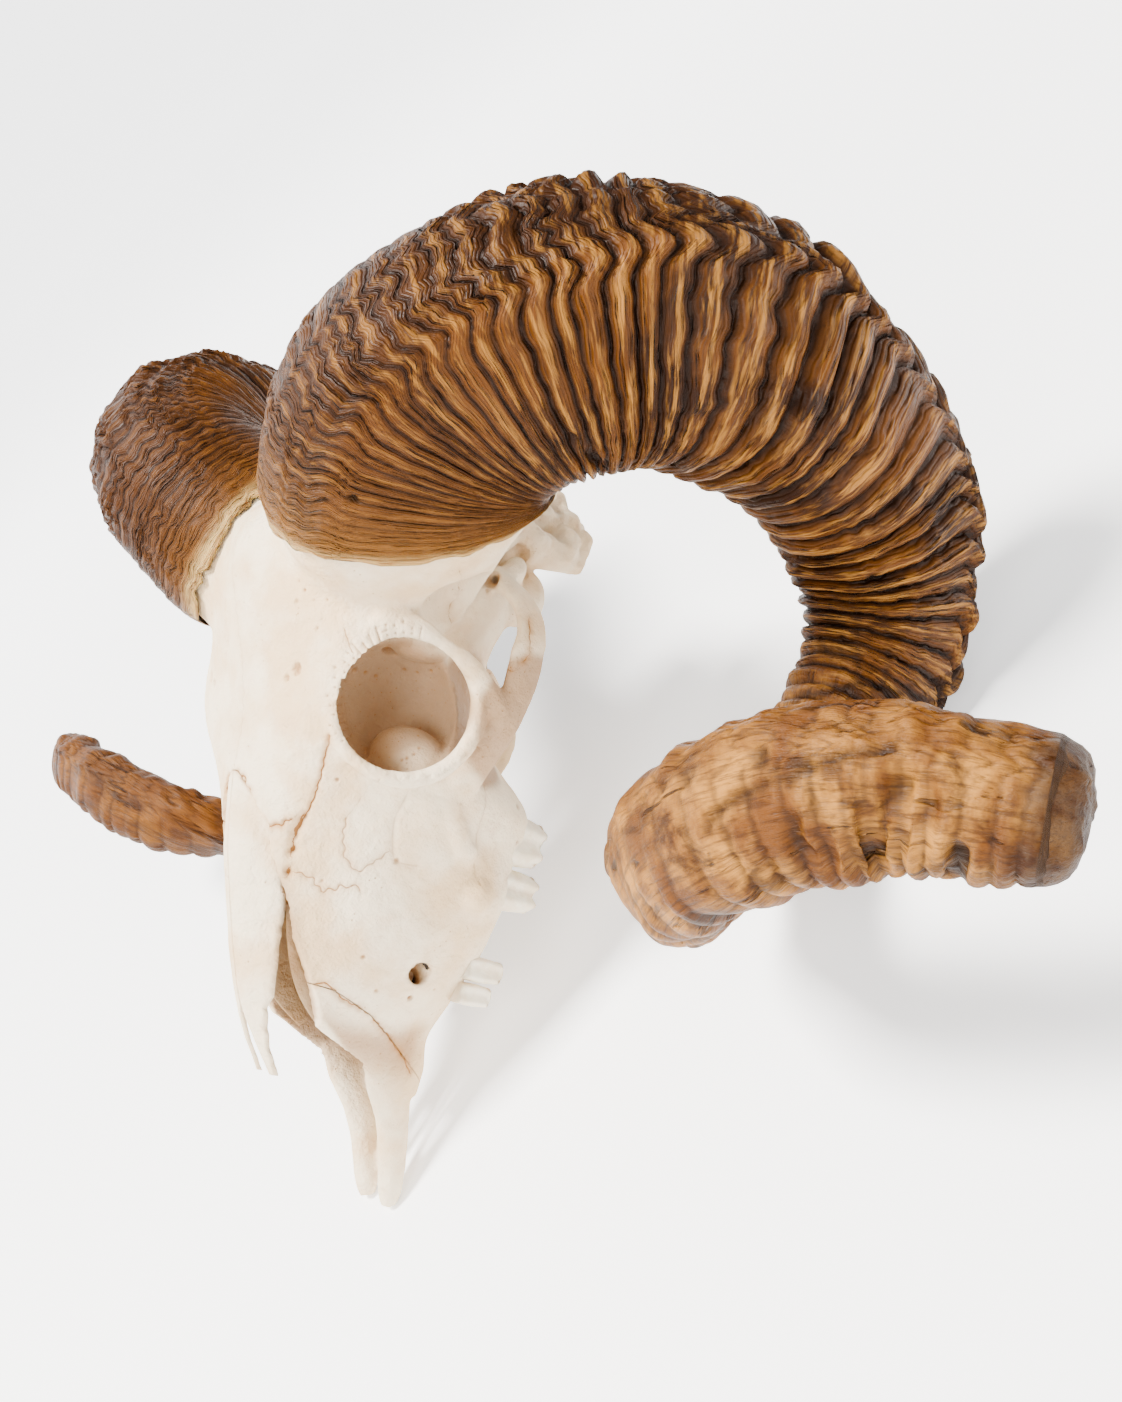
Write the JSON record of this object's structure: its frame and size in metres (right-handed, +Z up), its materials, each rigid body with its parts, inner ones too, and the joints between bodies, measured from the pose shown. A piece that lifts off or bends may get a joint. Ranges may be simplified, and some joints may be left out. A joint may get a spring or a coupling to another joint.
{
  "type": "ram skull",
  "caption": "Life-size ram skull with curled, ribbed horns, resting on the horn curls and the front bones.",
  "frame": {"origin": "middle of the bottom of the bounding box, on the surface the skull rests on", "axes": "+Z up from the floor, +X to the animal's left along the spread of the horns, -Y towards the nose"},
  "size_m": [0.5474, 0.3018, 0.2435],
  "materials": {
    "bone": "matte weathered bone, warm off-white",
    "horn": "ribbed horn, honey to dark brown, satin"
  },
  "bodies": {
    "root": {"cranium": "bone", "nasal_left": "bone", "nasal_right": "bone", "premaxilla_left": "bone", "premaxilla_right": "bone", "horn_left": "horn", "horn_right": "horn"}
  },
  "joints": []
}
